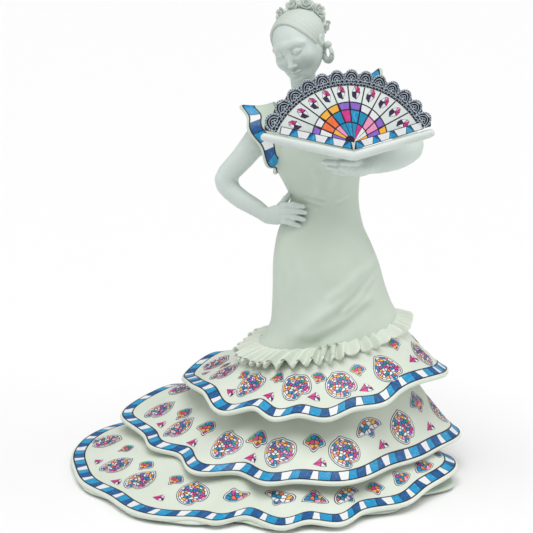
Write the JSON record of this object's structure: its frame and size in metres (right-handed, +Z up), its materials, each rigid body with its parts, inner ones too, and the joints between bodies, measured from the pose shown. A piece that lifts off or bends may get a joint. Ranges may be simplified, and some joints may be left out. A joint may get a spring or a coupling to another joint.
{
  "type": "souvenir figurine",
  "caption": "Standing dancer in a tiered, ruffled dress who holds an open fan before the chest, one hand on the hip, on a wide round skirt that serves as the base.",
  "frame": {"origin": "on the surface the figurine stands on, under the middle of its bounding box", "axes": "+Z up, the dancer faces -Y, +X is to the right of someone who looks at the front"},
  "size_m": [0.207, 0.1754, 0.2502],
  "materials": {
    "white_bisque": "matt unglazed ivory-white bisque with a fine dusty grain",
    "decorated_bisque": "matt white bisque with printed mosaic medallions and a blue, navy and white tiled border along the hem",
    "skin_bisque": "smoother matt white bisque, rubbed back to a faint sheen",
    "hair_bisque": "matt white bisque with tooled strands",
    "fan_white": "satin white ground with printed mosaic panes between dark lines",
    "lace_pewter": "raised lace brushed with blue-grey pewter paint over black",
    "felt": "dark green wool felt"
  },
  "bodies": {
    "root": {"lower_flounce": "decorated_bisque", "middle_flounce": "decorated_bisque", "upper_flounce": "decorated_bisque", "underskirt": "white_bisque", "closing_plate": "white_bisque", "knee_frill": "white_bisque", "dress": "white_bisque", "right_sleeve": "decorated_bisque", "left_sleeve": "decorated_bisque", "head": "skin_bisque", "right_arm": "skin_bisque", "left_arm": "skin_bisque", "right_hand": "skin_bisque", "left_hand": "skin_bisque", "hair": "hair_bisque", "hair_bun": "hair_bisque", "left_earring": "hair_bisque", "hair_flower_1": "hair_bisque", "hair_flower_2": "hair_bisque", "hair_flower_3": "hair_bisque", "hair_flower_4": "hair_bisque", "hair_flower_5": "hair_bisque", "fan_leaf": "fan_white", "fan_left_guard": "fan_white", "fan_right_guard": "fan_white", "fan_lace": "lace_pewter", "felt_pad_1": "felt", "felt_pad_2": "felt", "felt_pad_3": "felt", "felt_pad_4": "felt"}
  },
  "joints": []
}
